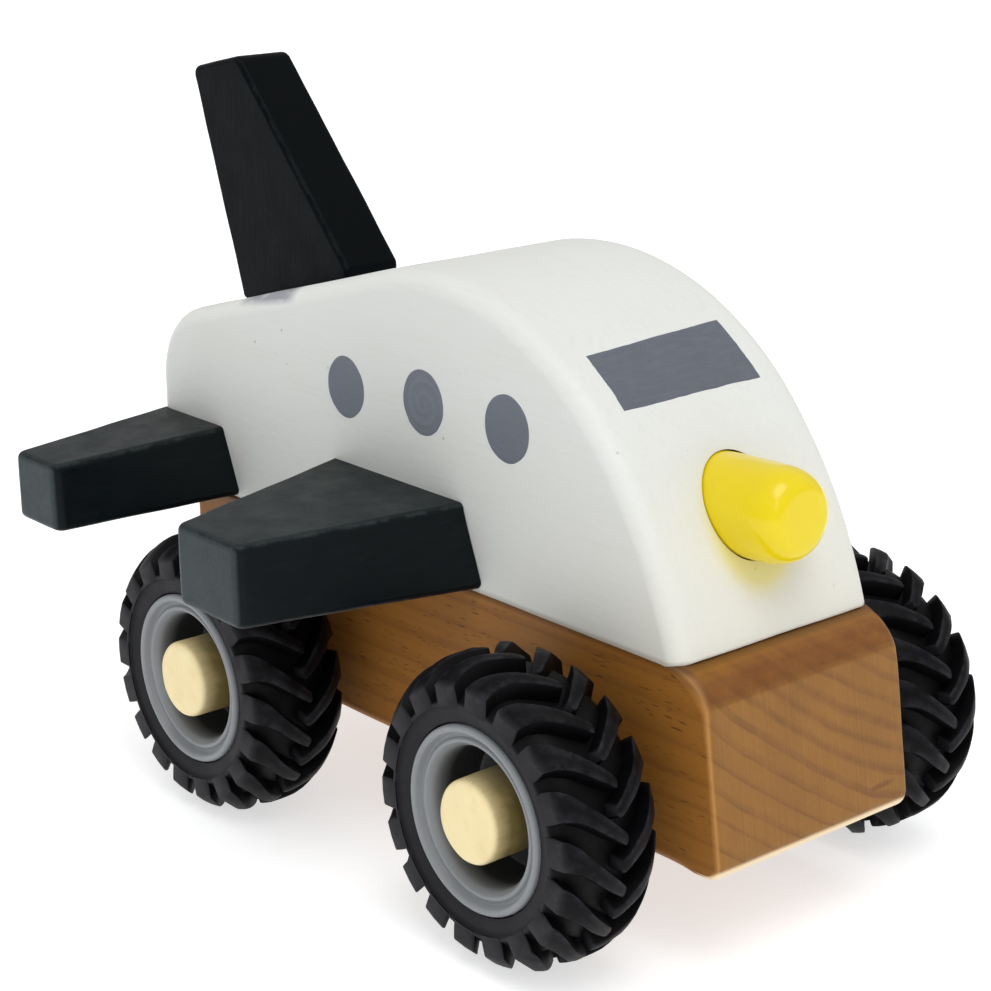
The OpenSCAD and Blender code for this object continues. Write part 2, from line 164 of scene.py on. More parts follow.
def outline(corners, radii, seg=3.0, step=9.0, closed=True):
    """Points and outward normals of a convex outline with rounded corners, counter-clockwise."""
    pts, nrm = [], []
    n = len(corners)
    c = [np.array(p, float) for p in corners]
    spans = []
    for i in range(n):
        a, b, d = c[i - 1], c[i], c[(i + 1) % n]
        if not closed and i in (0, n - 1):
            e = unit(d - b) if i == 0 else unit(b - a)
            o = np.array([e[1], -e[0]])
            spans.append([(b, o)])
            continue
        d1, d2 = unit(b - a), unit(d - b)
        o1, o2 = np.array([d1[1], -d1[0]]), np.array([d2[1], -d2[0]])
        r = radii[i]
        centre = b - r * (o1 + o2) / (1 + o1 @ o2)
        turn = math.acos(max(-1.0, min(1.0, o1 @ o2)))
        k = max(1, math.ceil(math.degrees(turn) / step))
        t0 = math.atan2(o1[1], o1[0])
        if math.degrees(turn) < 4:
            t = t0 + turn / 2
            spans.append([(b, np.array([math.cos(t), math.sin(t)]))])
            continue
        arc = []
        for q in range(k + 1):
            t = t0 + turn * q / k
            o = np.array([math.cos(t), math.sin(t)])
            arc.append((centre + r * o, o))
        spans.append(arc)
    for i in range(n):
        for p, o in spans[i]:
            pts.append(p)
            nrm.append(o)
        if not closed and i == n - 1:
            break
        (p, o), (q, w) = spans[i][-1], spans[(i + 1) % n][0]
        m = int(np.linalg.norm(q - p) // seg)
        for s in range(1, m + 1):
            f = s / (m + 1)
            pts.append(p + (q - p) * f)
            nrm.append(unit(o + (w - o) * f))
    return np.array(pts), np.array(nrm)


def slab(lo, hi, z_lo, z_hi, r, place, rings=5, mid=1, closed=True):
    """A block between two outlines with softened rims.

    lo and hi are (points, normals). r is one radius for each point, no larger than the outline's own
    corner radius there, or the rings cross.
    """
    verts, edge = [], []
    stack = []
    for q in range(rings + 1):
        a = math.pi / 2 * (1 - q / rings)
        stack.append((0.0, z_lo, +1, a))
    for q in range(1, mid):
        stack.append((q / mid, None, 0, 0.0))
    for q in range(rings + 1):
        a = math.pi / 2 * q / rings
        stack.append((1.0, z_hi, -1, a))
    n = len(lo[0])
    r = np.broadcast_to(np.asarray(r, float), (n,))
    for f, z, sign, a in stack:
        p = lo[0] * (1 - f) + hi[0] * f
        o = lo[1] * (1 - f) + hi[1] * f
        p = p - o * (r * (1 - math.cos(a)))[:, None]
        if z is None:
            zz = z_lo + r + (z_hi - z_lo - 2 * r) * f
        else:
            zz = z + sign * r * (1 - math.sin(a))
        for i in range(n):
            verts.append(place(p[i][0], p[i][1], zz[i]))
            edge.append(math.sin(2 * a) if z is not None else 0.0)
    faces = []
    k = len(stack)
    last = n if closed else n - 1
    for s in range(k - 1):
        for i in range(last):
            j = (i + 1) % n
            faces.append((s * n + i, s * n + j, (s + 1) * n + j, (s + 1) * n + i))
    faces.append(tuple(reversed(range(n))))
    faces.append(tuple(range((k - 1) * n, k * n)))
    if not closed:
        faces.append(tuple([s * n for s in range(k)] + [s * n + n - 1 for s in reversed(range(k))]))
    return verts, faces, edge


def soften(obj, test, width, segments=2):
    """Bevels the edges whose both ends pass the test (in millimetres)."""
    bm = bmesh.new()
    bm.from_mesh(obj.data)
    picked = [e for e in bm.edges if all(test(v.co / MM) for v in e.verts) and len(e.link_faces) == 2
              and e.calc_face_angle(0) > math.radians(25)]
    bmesh.ops.bevel(bm, geom=picked, offset=width * MM, segments=segments, affect="EDGES", profile=0.5,
                    clamp_overlap=True)
    bm.to_mesh(obj.data)
    bm.free()


def wobble(obj, amount, size, seed):
    """Hand-sanded unevenness: moves vertices a little along their normals. Large flat faces stay flat."""
    off = Vector((seed * 13.1, seed * 7.7, seed * 3.3))
    mesh = obj.data
    flat = {i for p in mesh.polygons if len(p.vertices) > 8 for i in p.vertices}
    moves = []
    for v in mesh.vertices:
        push = 0.0 if v.index in flat else amount * MM * noise.noise(v.co / MM / size + off)
        moves.append(v.co + v.normal * push)
    for v, co in zip(mesh.vertices, moves):
        v.co = co


def lathe(section, steps, place, closed=False):
    """Revolves (radius, height) points; a radius of 0 closes on the axis."""
    verts, faces, ring = [], [], []
    for r, h in section:
        if r < 1e-6:
            ring.append([len(verts)])
            verts.append(place(0.0, 0.0, h))
        else:
            ring.append(list(range(len(verts), len(verts) + steps)))
            for k in range(steps):
                t = 2 * math.pi * k / steps
                verts.append(place(r * math.cos(t), r * math.sin(t), h))
    pairs = list(zip(ring, ring[1:]))
    if closed:
        pairs.append((ring[-1], ring[0]))
    for a, b in pairs:
        for k in range(steps):
            j = (k + 1) % steps
            if len(a) == 1 and len(b) == 1:
                continue
            if len(a) == 1:
                faces.append((a[0], b[k], b[j]))
            elif len(b) == 1:
                faces.append((a[k], b[0], a[j]))
            else:
                faces.append((a[k], b[k], b[j], a[j]))
    return verts, faces


def arc(cx, cy, r, a0, a1, n):
    return [(cx + r * math.cos(math.radians(a0 + (a1 - a0) * i / n)),
             cy + r * math.sin(math.radians(a0 + (a1 - a0) * i / n))) for i in range(n + 1)]


# ---------------------------------------------------------------- materials
def material(name):
    m = bpy.data.materials.new(name)
    m.use_nodes = True
    nt = m.node_tree
    bsdf = nt.nodes["Principled BSDF"]
    return m, nt, bsdf


class Net:
    """Short calls for a node tree; coordinates are object space in millimetres."""

    def __init__(self, name):
        self.m, self.nt, self.bsdf = material(name)
        tc = self.nt.nodes.new("ShaderNodeTexCoord")
        self.co = self.vmath("SCALE", tc.outputs["Object"], scale=1000.0)

    def link(self, a, b):
        if isinstance(a, (int, float)):
            b.default_value = a
        elif isinstance(a, (tuple, list)):
            b.default_value = a
        else:
            self.nt.links.new(a, b)

    def vmath(self, op, a, b=None, scale=None):
        n = self.nt.nodes.new("ShaderNodeVectorMath")
        n.operation = op
        self.link(a, n.inputs[0])
        if b is not None:
            self.link(b, n.inputs[1])
        if scale is not None:
            self.link(scale, n.inputs["Scale"])
        return n.outputs["Value"] if op in ("LENGTH", "DOT_PRODUCT", "DISTANCE") else n.outputs["Vector"]

    def math(self, op, a, b=None, c=None, clamp=False):
        n = self.nt.nodes.new("ShaderNodeMath")
        n.operation = op
        n.use_clamp = clamp
        self.link(a, n.inputs[0])
        if b is not None:
            self.link(b, n.inputs[1])
        if c is not None:
            self.link(c, n.inputs[2])
        return n.outputs[0]

    def noise(self, vec, scale, detail=3.0, rough=0.5, distort=0.0, out="Fac"):
        n = self.nt.nodes.new("ShaderNodeTexNoise")
        self.link(vec, n.inputs["Vector"])
        n.inputs["Scale"].default_value = scale
        n.inputs["Detail"].default_value = detail
        n.inputs["Roughness"].default_value = rough
        n.inputs["Distortion"].default_value = distort
        return n.outputs[out]

    def voronoi(self, vec, scale, feature="F1", out="Distance", rand=1.0):
        n = self.nt.nodes.new("ShaderNodeTexVoronoi")
        n.feature = feature
        self.link(vec, n.inputs["Vector"])
        n.inputs["Scale"].default_value = scale
        n.inputs["Randomness"].default_value = rand
        return n.outputs[out]

    def scaled(self, x, y, z, vec=None):
        return self.vmath("MULTIPLY", vec if vec is not None else self.co, (x, y, z))

    def ramp(self, fac, stops, interp="LINEAR"):
        n = self.nt.nodes.new("ShaderNodeValToRGB")
        n.color_ramp.interpolation = interp
        els = n.color_ramp.elements
        while len(els) < len(stops):
            els.new(0.5)
        for e, (p, c) in zip(els, stops):
            e.position = p
            c = c if isinstance(c, tuple) else (c, c, c)
            e.color = c if len(c) == 4 else (*c, 1)
        self.link(fac, n.inputs["Fac"])
        return n.outputs["Color"]

    def mix(self, fac, a, b, mode="MIX"):
        n = self.nt.nodes.new("ShaderNodeMix")
        n.data_type = "RGBA"
        n.blend_type = mode
        self.link(fac, n.inputs["Factor"])
        self.link(a if not isinstance(a, tuple) or len(a) == 4 else (*a, 1), n.inputs["A"])
        self.link(b if not isinstance(b, tuple) or len(b) == 4 else (*b, 1), n.inputs["B"])
        return n.outputs["Result"]

    def sep(self, vec=None):
        n = self.nt.nodes.new("ShaderNodeSeparateXYZ")
        self.link(vec if vec is not None else self.co, n.inputs[0])
        return n.outputs

    def comb(self, x, y, z):
        n = self.nt.nodes.new("ShaderNodeCombineXYZ")
        for s, v in zip(n.inputs, (x, y, z)):
            self.link(v, s)
        return n.outputs[0]

    def attr(self, name):
        n = self.nt.nodes.new("ShaderNodeAttribute")
        n.attribute_name = name
        return n.outputs["Fac"]

    def normal(self):
        n = self.nt.nodes.new("ShaderNodeNewGeometry")
        return n.outputs["Normal"]

    def remap(self, v, a, b, c=0.0, d=1.0):
        n = self.nt.nodes.new("ShaderNodeMapRange")
        self.link(v, n.inputs["Value"])
        for k, x in zip(("From Min", "From Max", "To Min", "To Max"), (a, b, c, d)):
            n.inputs[k].default_value = x
        return n.outputs["Result"]

    def bump(self, height, dist, strength=1.0, after=None):
        n = self.nt.nodes.new("ShaderNodeBump")
        n.inputs["Strength"].default_value = strength
        n.inputs["Distance"].default_value = dist * MM
        self.link(height, n.inputs["Height"])
        if after is not None:
            self.link(after, n.inputs["Normal"])
        return n.outputs["Normal"]

    def done(self, color, rough, normal=None, **more):
        self.link(color, self.bsdf.inputs["Base Color"])
        self.link(rough, self.bsdf.inputs["Roughness"])
        if normal is not None:
            self.link(normal, self.bsdf.inputs["Normal"])
        for k, v in more.items():
            self.link(v, self.bsdf.inputs[k.replace("_", " ")])
        return self.m


def srgb(r, g, b):
    return tuple(((c / 255) / 12.92 if c <= 10.31 else ((c / 255 + 0.055) / 1.055) ** 2.4) for c in (r, g, b))


PITH = (56.0, 116.0)


def beech():
    n = Net("beech")
    warp = n.noise(n.scaled(0.02, 0.05, 0.05), 1.0, 3, 0.5, out="Color")
    co = n.vmath("ADD", n.co, n.vmath("SCALE", n.vmath("SUBTRACT", warp, (0.5, 0.5, 0.5)), scale=3.4))
    s = n.sep(co)
    x, y, z = n.sep()
    # growth rings run round a pith that lies along X, above the airplane's far side
    ry = n.math("SUBTRACT", s[1], PITH[0])
    rz = n.math("SUBTRACT", s[2], PITH[1])
    rad = n.math("SQRT", n.math("ADD", n.math("MULTIPLY", ry, ry), n.math("MULTIPLY", rz, rz)))
    fine = n.noise(n.comb(n.math("MULTIPLY", s[0], 0.01), n.math("MULTIPLY", rad, 0.6), 0.0), 1.0, 2, 0.6)
    phase = n.math("ADD", n.math("MULTIPLY", rad, 0.31), n.math("MULTIPLY", fine, 0.8))
    saw = n.math("FRACT", phase)
    late = n.math("MULTIPLY", n.remap(saw, 0.55, 0.86), n.remap(saw, 1.0, 0.88))
    nx = n.sep(n.normal())[0]
    end = n.remap(n.math("ABSOLUTE", nx), 0.80, 0.93)
    base = n.mix(n.noise(n.scaled(0.012, 0.05, 0.05), 1.0, 4, 0.6), srgb(175, 118, 48), srgb(156, 102, 37))
    side_streak = n.noise(n.scaled(0.03, 1.1, 1.1), 1.0, 4, 0.65)
    base = n.mix(n.math("MULTIPLY", side_streak, 0.5), base, srgb(130, 80, 34))
    end_soft = n.noise(n.scaled(0.3, 0.11, 0.11), 1.0, 3, 0.55)
    end_base = n.mix(end_soft, srgb(162, 113, 46), srgb(134, 90, 34))
    base = n.mix(end, base, end_base)
    # the raked front was cut on a saw that left fine upright lines
    lines = n.remap(n.noise(n.scaled(0.1, 2.9, 0.035), 1.0, 3, 0.6), 0.35, 0.68)
    base = n.mix(n.math("MULTIPLY", n.math("MULTIPLY", lines, end), 0.22), base, srgb(104, 66, 34))
    ring_side = n.math("MULTIPLY", late, 0.28)
    broken = n.remap(n.noise(n.scaled(0.2, 0.2, 0.2), 1.0, 3, 0.6), 0.35, 0.6, 0.45, 1.0)
    ring_end = n.math("MULTIPLY", n.math("MULTIPLY", late, broken), 0.52)
    ring_side = n.math("MULTIPLY", ring_side, n.math("SUBTRACT", 1.0, end))
    ring = n.math("ADD", ring_side, n.math("MULTIPLY", ring_end, end))
    col = n.mix(ring, base, srgb(100, 60, 30))
    # short dark ray flecks along the grain, on the faces that aren't end grain
    fleck = None
    for fx, fy, low, high, shift in ((0.22, 1.5, 0.46, 0.60, 0.0), (0.36, 2.4, 0.44, 0.58, 37.0)):
        spot = n.vmath("ADD", n.scaled(fx, fy, fy), (shift, shift, shift))
        fl = n.voronoi(spot, 1.0, rand=1.0)
        pick = n.noise(n.vmath("ADD", n.scaled(0.07, 0.3, 0.3), (shift, 0.0, 0.0)), 1.0, 2, 0.5)
        one = n.math("MULTIPLY", n.remap(fl, 0.26, 0.12), n.remap(pick, low, high))
        fleck = one if fleck is None else n.math("MAXIMUM", fleck, one)
    fleck = n.math("MULTIPLY", fleck, n.remap(n.math("ABSOLUTE", n.sep(n.normal())[1]), 0.965, 0.995))
    col = n.mix(n.math("MULTIPLY", fleck, 0.75), col, srgb(74, 40, 16))
    pore = n.noise(n.scaled(1.0, 3.2, 3.2), 1.0, 2, 0.6)
    pores = n.math("MULTIPLY", n.remap(pore, 0.58, 0.75), n.math("MULTIPLY", end, 0.25))
    col = n.mix(pores, col, srgb(96, 58, 28))
    # the brow darker on its slope, a painted highlight where it faces up, painted highlights along the rounded
    # corners, painted shade in the joint and a small dent low on the front
    up = n.sep(n.normal())[2]
    front = n.remap(x, CH_HI.x - 16.0, CH_HI.x - 10.0)
    brow = n.math("MULTIPLY", n.math("MULTIPLY", n.remap(up, 0.25, 0.45), n.remap(up, 0.99, 0.75)), front)
    patch = n.noise(n.scaled(0.1, 0.16, 0.3), 1.0, 4, 0.65)
    brow = n.math("MULTIPLY", brow, n.remap(patch, 0.25, 0.7, 0.55, 1.0))
    col = n.mix(n.math("MULTIPLY", brow, 0.8), col, srgb(102, 58, 20))
    # painted highlight: the upward-facing top near the front is lighter
    top_highlight = n.math("MULTIPLY", n.remap(up, 0.86, 0.98), front)
    col = n.mix(n.math("MULTIPLY", top_highlight, 0.75), col, srgb(204, 138, 46))
    # painted highlight: a light line along the middle of each rounded edge
    edge = n.math("POWER", n.attr("edge"), 8.0)
    col = n.mix(n.math("MULTIPLY", edge, 0.38), col, srgb(216, 164, 98))
    # painted light: the lower rounding of the front, facing down towards the bright floor, is made pale
    down = n.math("MULTIPLY", n.remap(up, -0.18, -0.42), n.remap(x, CH_HI.x - 5.0, CH_HI.x - 3.0))
    col = n.mix(n.math("MULTIPLY", down, 0.85), col, srgb(255, 232, 192))
    # painted shade where the chassis top meets the front of the fuselage
    joint = n.remap(z, CH_HI.z - 1.3, CH_HI.z - 0.1)
    joint = n.math("MULTIPLY", joint, n.remap(x, FU_HI.x + 3.5, FU_HI.x + 1.0))
    col = n.mix(n.math("MULTIPLY", joint, 0.8), col, srgb(44, 24, 8))
    dv = n.vmath("SUBTRACT", n.co, (CH_HI.x, 14.2, CH_LO.z + 5.4))
    dn = n.vmath("LENGTH", n.vmath("MULTIPLY", dv, (0.1, 0.33, 1.9)))
    dent = n.math("MULTIPLY", n.remap(dn, 1.0, 0.5), end)
    col = n.mix(n.math("MULTIPLY", dent, 0.55), col, srgb(104, 60, 34))
    h = n.math("ADD", n.math("MULTIPLY", side_streak, 0.5), n.math("MULTIPLY", fleck, -0.6))
    h = n.math("ADD", h, n.math("MULTIPLY", late, 0.15))
    h = n.math("ADD", h, n.math("MULTIPLY", dent, -1.2))
    h = n.math("ADD", h, n.math("MULTIPLY", n.math("MULTIPLY", lines, end), 0.5))
    rough = n.remap(side_streak, 0.2, 0.8, 0.42, 0.6)
    return n.done(col, rough, n.bump(h, 0.12, 0.6), Specular_IOR_Level=0.3)


def white_paint():
    n = Net("white_paint")
    x, y, z = n.sep()
    soft = n.noise(n.scaled(0.03, 0.05, 0.05), 1.0, 3, 0.5)
    col = n.mix(soft, srgb(233, 235, 232), srgb(226, 227, 221))
    grain = n.noise(n.scaled(0.07, 1.1, 1.1), 1.0, 4, 0.6)
    col = n.mix(n.math("MULTIPLY", n.remap(grain, 0.52, 0.8), 0.16), col, srgb(196, 196, 186))
    # painted shade: the flat sides are greyer
    flank = n.remap(n.math("ABSOLUTE", n.sep(n.normal())[1]), 0.6, 0.95)
    col = n.mix(n.math("MULTIPLY", flank, 0.15), col, srgb(208, 211, 210))
    # the lower nose is a little creamier
    low = n.math("MULTIPLY", n.remap(z, TOP_Z + 26.0, TOP_Z), n.remap(x, FU_HI.x - 40.0, FU_HI.x - 8.0))
    col = n.mix(n.math("MULTIPLY", low, 0.45), col, srgb(226, 220, 202))
    speck = n.voronoi(n.co, 0.24)
    spick = n.noise(n.co, 0.05, 1, 0.5)
    mask = n.math("MULTIPLY", n.remap(speck, 0.07, 0.04), n.remap(spick, 0.48, 0.58))
    col = n.mix(n.math("MULTIPLY", mask, 0.6), col, srgb(164, 152, 128))
    # yellow rubbed round the nose peg
    dp = n.vmath("SUBTRACT", n.co, (PEG_X, -0.4, PEG_Z - 2.6))
    ring = n.vmath("LENGTH", n.vmath("MULTIPLY", dp, (0.4, 1.0, 0.85)))
    halo = n.math("MULTIPLY", n.remap(ring, PEG_R + 2.6, PEG_R - 0.6), n.remap(x, PEG_X - 12.0, PEG_X - 6.0))
    col = n.mix(n.math("MULTIPLY", n.math("MULTIPLY", halo, halo), 0.6), col, srgb(232, 220, 96))
    # a painted reflection of the dark fin: a grey-violet band on the deck beside the fin's foot
    deck = n.math("ADD", n.math("MULTIPLY", x, math.tan(math.radians(DECK))), deck_z(0.0))
    drop = n.math("SUBTRACT", deck, z)
    reach = n.remap(x, FIN_REFLECTION_SPAN[0], FIN_REFLECTION_SPAN[1], 0.7, 2.2)
    sy = n.math("MULTIPLY", n.remap(n.math("SUBTRACT", drop, reach), 0.6, -0.6), n.remap(y, -5.4, -6.4))
    sx = n.math("MULTIPLY", n.remap(x, FIN_REFLECTION_SPAN[0], FIN_REFLECTION_SPAN[0] + 3.0), n.remap(x, FIN_REFLECTION_SPAN[1], FIN_REFLECTION_SPAN[1] - 3.0))
    rag = n.remap(n.noise(n.scaled(0.22, 0.5, 0.2), 1.0, 4, 0.6), 0.3, 0.5, 0.55, 1.0)
    front_x = n.remap(x, FIN_REFLECTION_SPAN[1] - 3.4, FIN_REFLECTION_SPAN[1] - 2.4)
    front_x = n.math("MULTIPLY", front_x, n.remap(x, FIN_REFLECTION_SPAN[1] + 0.8, FIN_REFLECTION_SPAN[1]))
    front_y = n.remap(n.math("ABSOLUTE", y), 7.5, 6.0)
    fin_reflection = n.math("MAXIMUM", n.math("MULTIPLY", sx, sy), n.math("MULTIPLY", front_x, front_y))
    fin_reflection = n.math("MULTIPLY", n.math("MULTIPLY", fin_reflection, rag), n.remap(z, TOP_Z + 16.0, TOP_Z + 18.0))
    col = n.mix(n.math("MULTIPLY", fin_reflection, 0.85), col, srgb(136, 136, 147))
    # painted shade in the joint with the chassis
    foot = n.remap(n.math("ADD", z, n.math("MULTIPLY", grain, 0.8)), TOP_Z + 1.0, TOP_Z + 0.4)
    col = n.mix(n.math("MULTIPLY", foot, 0.5), col, srgb(150, 136, 110))
    peel = n.noise(n.co, 0.9, 3, 0.6)
    fine = n.noise(n.co, 3.5, 2, 0.6)
    h = n.math("ADD", n.math("MULTIPLY", peel, 0.6), n.math("MULTIPLY", grain, 0.6))
    h = n.math("ADD", h, n.math("MULTIPLY", fine, 0.12))
    rough = n.remap(peel, 0.3, 0.7, 0.45, 0.58)
    return n.done(col, rough, n.bump(h, 0.10, 0.55), Specular_IOR_Level=0.35, Subsurface_Weight=0.0)


def charcoal_paint(name, gx, gy, gz, seed, deep=0.0):
    """Grain runs along the axis with the smallest factor. deep sets how much painted shade the piece gets."""
    n = Net(name)
    co = n.vmath("ADD", n.co, (seed * 31.0, seed * 17.0, seed * 11.0))
    soft = n.noise(n.vmath("MULTIPLY", co, (0.04, 0.04, 0.04)), 1.0, 3, 0.5)
    col = n.mix(soft, srgb(8, 14, 16), srgb(14, 20, 23))
    grain = n.noise(n.vmath("MULTIPLY", co, (gx, gy, gz)), 1.0, 4, 0.62)
    col = n.mix(n.math("MULTIPLY", n.remap(grain, 0.5, 0.8), 0.3), col, srgb(26, 34, 36))
    side = n.math("ABSOLUTE", n.sep(n.normal())[1])
    far = n.remap(n.math("ABSOLUTE", n.sep(n.co)[1]), 46.0, 50.0)
    tip = n.math("MULTIPLY", n.remap(side, 0.7, 0.9), far)
    col = n.mix(n.math("MULTIPLY", tip, 0.8), col, n.mix(grain, srgb(50, 58, 61), srgb(70, 78, 81)))
    # painted sheen: upward faces lighter, more so further out along the span
    outward = n.remap(n.math("ABSOLUTE", n.sep(n.co)[1]), 20.0, 56.0, 0.25, 1.0)
    top = n.math("MULTIPLY", n.remap(n.sep(n.normal())[2], 0.6, 0.9), outward)
    col = n.mix(n.math("MULTIPLY", top, 0.42 * (1.0 - deep)), col, srgb(54, 61, 62))
    edge = n.attr("edge")
    patchy = n.noise(co, 0.35, 4, 0.7)
    worn = n.math("MULTIPLY", n.math("POWER", edge, 6.0), n.remap(patchy, 0.44, 0.62))
    col = n.mix(n.math("MULTIPLY", worn, 0.2), col, srgb(92, 104, 106))
    speck = n.voronoi(co, 0.16)
    mask = n.math("MULTIPLY", n.remap(speck, 0.05, 0.03), n.remap(n.noise(co, 0.07, 1, 0.5), 0.54, 0.62))
    col = n.mix(n.math("MULTIPLY", mask, 0.35), col, srgb(120, 130, 130))
    # painted shade, as strong as deep: the whole piece darker, its upward faces darker still
    col = n.mix(0.6 * deep, col, srgb(1, 5, 9))
    top_shade = n.math("MULTIPLY", n.remap(n.sep(n.normal())[2], 0.5, 0.9), 0.8 * deep)
    col = n.mix(top_shade, col, srgb(1, 2, 3))
    h = n.math("ADD", n.math("MULTIPLY", grain, 0.7), n.math("MULTIPLY", n.noise(co, 1.6, 3, 0.6), 0.35))
    rough = n.remap(n.noise(co, 0.2, 3, 0.6), 0.3, 0.7, 0.36, 0.5)
    return n.done(col, rough, n.bump(h, 0.08, 0.5), Specular_IOR_Level=0.12 - 0.07 * deep)


def yellow_paint():
    n = Net("yellow_paint")
    soft = n.noise(n.co, 0.12, 3, 0.5)
    col = n.mix(soft, srgb(240, 218, 6), srgb(234, 206, 2))
    drip = n.noise(n.co, 0.35, 2, 0.4)
    h = n.math("ADD", n.math("MULTIPLY", drip, 0.8), n.math("MULTIPLY", n.noise(n.co, 2.5, 2, 0.5), 0.1))
    rough = n.remap(soft, 0.3, 0.7, 0.16, 0.26)
    relief = n.bump(h, 0.05, 0.4)
    return n.done(col, rough, relief, Coat_Weight=0.25, Coat_Roughness=0.14, Specular_IOR_Level=0.3)


def window_paint(name, swirl, tone=0.0):
    n = Net(name)
    soft = n.noise(n.co, 0.25, 3, 0.6)
    col = n.mix(soft, srgb(96, 102, 113), srgb(106, 112, 123))
    col = n.mix(tone, col, srgb(64, 70, 80))
    if swirl:
        d = n.vmath("SUBTRACT", n.co, swirl)
        s = n.sep(d)
        ang = n.math("ARCTAN2", s[2], s[0])
        rad = n.vmath("LENGTH", d)
        spiral = n.math("SINE", n.math("ADD", n.math("MULTIPLY", rad, 3.2), ang))
        stroke = n.math("ADD", n.math("MULTIPLY", spiral, 0.5), n.noise(n.co, 1.1, 3, 0.6))
    else:
        stroke = n.noise(n.scaled(0.5, 0.3, 2.2), 1.0, 3, 0.65)
    col = n.mix(n.remap(stroke, 0.45, 0.9, 0.0, 0.3), col, srgb(136, 138, 148))
    return n.done(col, n.remap(stroke, 0.2, 0.8, 0.4, 0.58), n.bump(stroke, 0.06, 0.6))


def pale_wood(name="pale_wood"):
    n = Net(name)
    soft = n.noise(n.scaled(0.2, 0.05, 0.2), 1.0, 3, 0.5)
    col = n.mix(soft, srgb(252, 236, 188), srgb(244, 224, 170))
    streak = n.noise(n.scaled(1.6, 0.05, 1.6), 1.0, 4, 0.65)
    nrm = n.sep(n.normal())
    flank = n.remap(n.math("ABSOLUTE", nrm[1]), 0.75, 0.25)
    streaks = n.math("MULTIPLY", n.math("MULTIPLY", n.remap(streak, 0.4, 0.7), 0.28), flank)
    col = n.mix(streaks, col, srgb(190, 160, 86))
    # painted shade on the flank in the mouth of the rim, darkest deep in and on the side facing +x; the shade is
    # a little green
    depth = n.remap(n.math("ABSOLUTE", n.sep(n.co)[1]), PEG_END + 0.2, PEG_END - 3.4, 0.25, 1.0)
    lee = n.remap(nrm[0], -0.5, 0.7, 0.45, 1.0)
    shade_it = n.math("MULTIPLY", n.math("MULTIPLY", flank, depth), lee)
    col = n.mix(n.math("MULTIPLY", shade_it, 0.88), col, srgb(112, 94, 32))
    pore = n.noise(n.scaled(2.2, 1.2, 2.2), 1.0, 3, 0.65)
    blot = n.noise(n.scaled(0.35, 0.2, 0.35), 1.0, 3, 0.6)
    col = n.mix(n.math("MULTIPLY", n.remap(pore, 0.6, 0.8), 0.16), col, srgb(206, 172, 116))
    col = n.mix(n.math("MULTIPLY", n.remap(blot, 0.5, 0.75), 0.3), col, srgb(226, 198, 140))
    h = n.math("ADD", n.math("MULTIPLY", streak, 0.6), n.math("MULTIPLY", pore, 0.3))
    return n.done(col, n.remap(pore, 0.3, 0.7, 0.55, 0.7), n.bump(h, 0.10, 0.6), Specular_IOR_Level=0.3)


def grey_plastic():
    n = Net("grey_plastic")
    soft = n.noise(n.co, 0.15, 3, 0.5)
    col = n.mix(soft, srgb(141, 144, 147), srgb(130, 133, 137))
    fine = n.noise(n.co, 5.0, 2, 0.6)
    scuff = n.remap(n.noise(n.scaled(0.9, 0.4, 0.9), 1.0, 4, 0.7), 0.6, 0.75)
    col = n.mix(n.math("MULTIPLY", scuff, 0.14), col, srgb(184, 185, 182))
    # painted highlight along rounded edges
    edge = n.attr("edge")
    col = n.mix(n.math("MULTIPLY", edge, 0.35), col, srgb(178, 181, 184))
    # painted shade deep in the mouth of the rim
    hub_y = HUBS["front_left"].y
    depth = n.remap(n.math("ABSOLUTE", n.sep(n.co)[1]), hub_y + 6.7, hub_y + 3.4)
    col = n.mix(n.math("MULTIPLY", depth, 0.92), col, srgb(20, 20, 22))
    return n.done(col, n.remap(soft, 0.3, 0.7, 0.36, 0.46), n.bump(fine, 0.02, 0.4), Specular_IOR_Level=0.4)


def rubber():
    n = Net("rubber")
    soft = n.noise(n.co, 0.12, 3, 0.55)
    col = n.mix(soft, srgb(4, 4, 6), srgb(7, 7, 10))
    wall = n.remap(n.math("ABSOLUTE", n.sep(n.normal())[1]), 0.7, 0.95)
    col = n.mix(n.math("MULTIPLY", wall, 0.6), col, srgb(46, 46, 49))
    edge = n.attr("edge")
    # dust and a painted violet sheen on the raised edges of the lugs
    dust_and_sheen = n.math("MULTIPLY", edge, n.remap(n.noise(n.co, 0.4, 4, 0.7), 0.4, 0.7))
    col = n.mix(n.math("MULTIPLY", dust_and_sheen, 0.26), col, srgb(82, 79, 90))
    fine = n.noise(n.co, 2.2, 4, 0.65)
    pit = n.voronoi(n.co, 1.1)
    h = n.math("ADD", n.math("MULTIPLY", fine, 0.6), n.math("MULTIPLY", n.remap(pit, 0.12, 0.0), -0.2))
    rough = n.remap(n.noise(n.co, 0.3, 3, 0.6), 0.3, 0.7, 0.46, 0.6)
    return n.done(col, rough, n.bump(h, 0.05, 0.5), Specular_IOR_Level=0.12)


FLOOR_GLOW = 0.62


def floor_material():
    n = Net("floor")
    soft = n.noise(n.co, 0.004, 3, 0.5)
    col = n.mix(soft, (0.66, 0.67, 0.68), (0.63, 0.64, 0.65))
    glow = (1.0, 1.0, 1.0, 1.0)
    return n.done(col, 0.9, Specular_IOR_Level=0.0, Emission_Color=glow, Emission_Strength=FLOOR_GLOW)


def put(obj, mat):
    obj.data.materials.clear()
    obj.data.materials.append(mat)


M_BEECH = beech()
M_WHITE = white_paint()
M_YELLOW = yellow_paint()
M_PALE = pale_wood()
M_GREY = grey_plastic()
M_RUBBER = rubber()

# ---------------------------------------------------------------- chassis block
BROW_R, BROW_END, FOOT_R, FRONT_LEAN = 7.2, 17.0, 2.4, 7.5


def upright(x, y, z):
    return (x, z, y)


